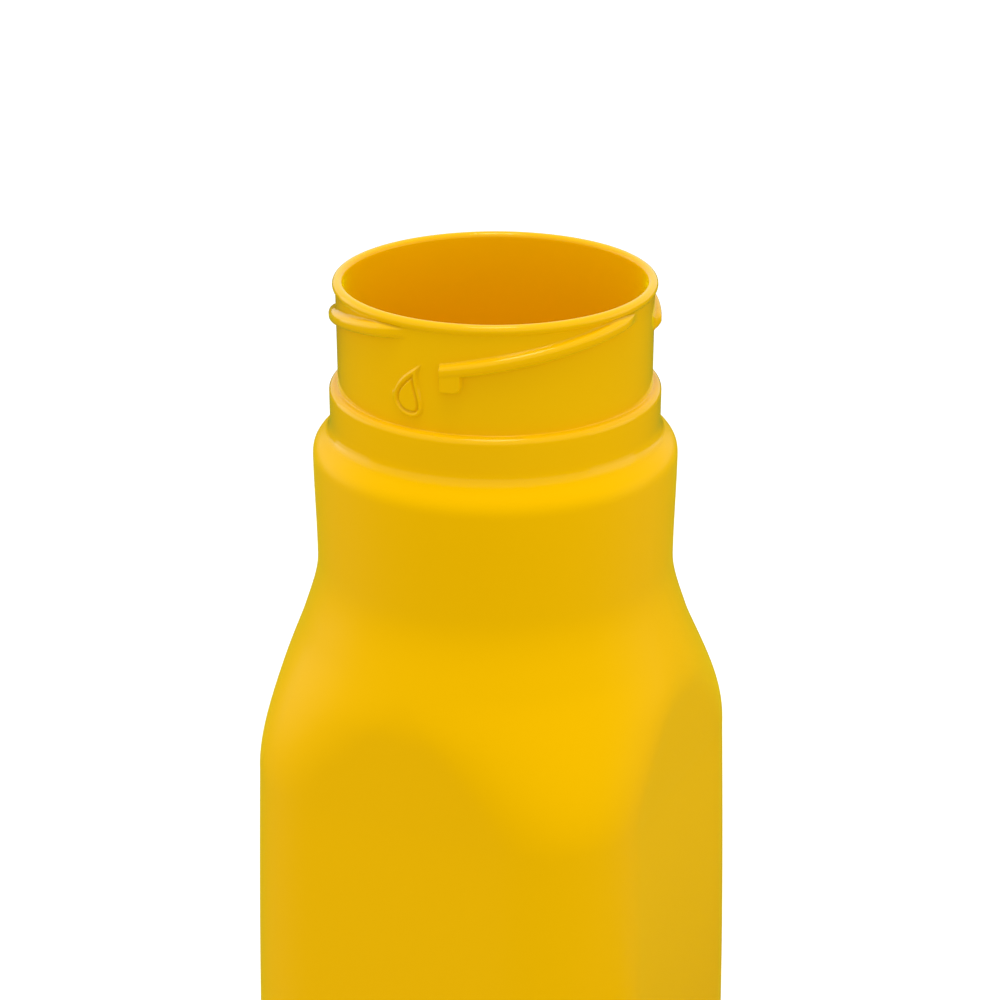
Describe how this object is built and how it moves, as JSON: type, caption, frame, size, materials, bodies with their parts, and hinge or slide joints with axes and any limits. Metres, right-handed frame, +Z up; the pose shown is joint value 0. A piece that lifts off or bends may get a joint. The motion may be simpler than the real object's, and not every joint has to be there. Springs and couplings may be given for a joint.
{
  "type": "water bottle",
  "caption": "Square-shouldered plastic drinking bottle with a round multi-start screw neck, and its push-pull drinking lid standing beside it.",
  "frame": {"origin": "on the bottle's axis, on the surface that the bottle and the lid stand on", "axes": "+Z up along the bottle's axis; the body's flat sides face along X and Y; +X towards the lid that stands beside it"},
  "size_m": [0.1443, 0.0698, 0.185],
  "materials": {
    "bottle_plastic": "satin yellow polypropylene",
    "grey_plastic": "fine matt dark grey",
    "grey_rubber": "soft dark grey elastomer",
    "clear_silicone": "milky silicone",
    "white_plastic": "smooth white",
    "black_rubber": "smooth black",
    "clear_plastic": "clear, lightly smoked",
    "pin_steel": "drawn stainless wire"
  },
  "bodies": {
    "bottle": {"bottle_shell": "bottle_plastic"},
    "lid": {"lid_cap": "bottle_plastic", "spout_insert": "grey_plastic", "grip_band": "grey_rubber", "rim_gasket": "clear_silicone", "vent_valve": "clear_silicone", "nozzle_seal": "black_rubber", "hinge_pin": "pin_steel"},
    "nozzle": {"nozzle_body": "white_plastic", "mouth_tip": "grey_rubber"},
    "cover": {"dust_cap": "clear_plastic"}
  },
  "joints": [
    {"name": "lid_lift", "type": "slide", "parent": "bottle", "child": "lid", "axis": [0, 0, 1], "range_m": [0, 0.2]},
    {"name": "cover_hinge", "type": "hinge", "parent": "lid", "child": "cover", "pos_m": [0.104, 0, 0.0296], "axis": [0, 1, 0], "range_deg": [0, 170]},
    {"name": "nozzle_pull", "type": "slide", "parent": "lid", "child": "nozzle", "axis": [0, 0, 1], "range_m": [0, 0.005]}
  ]
}
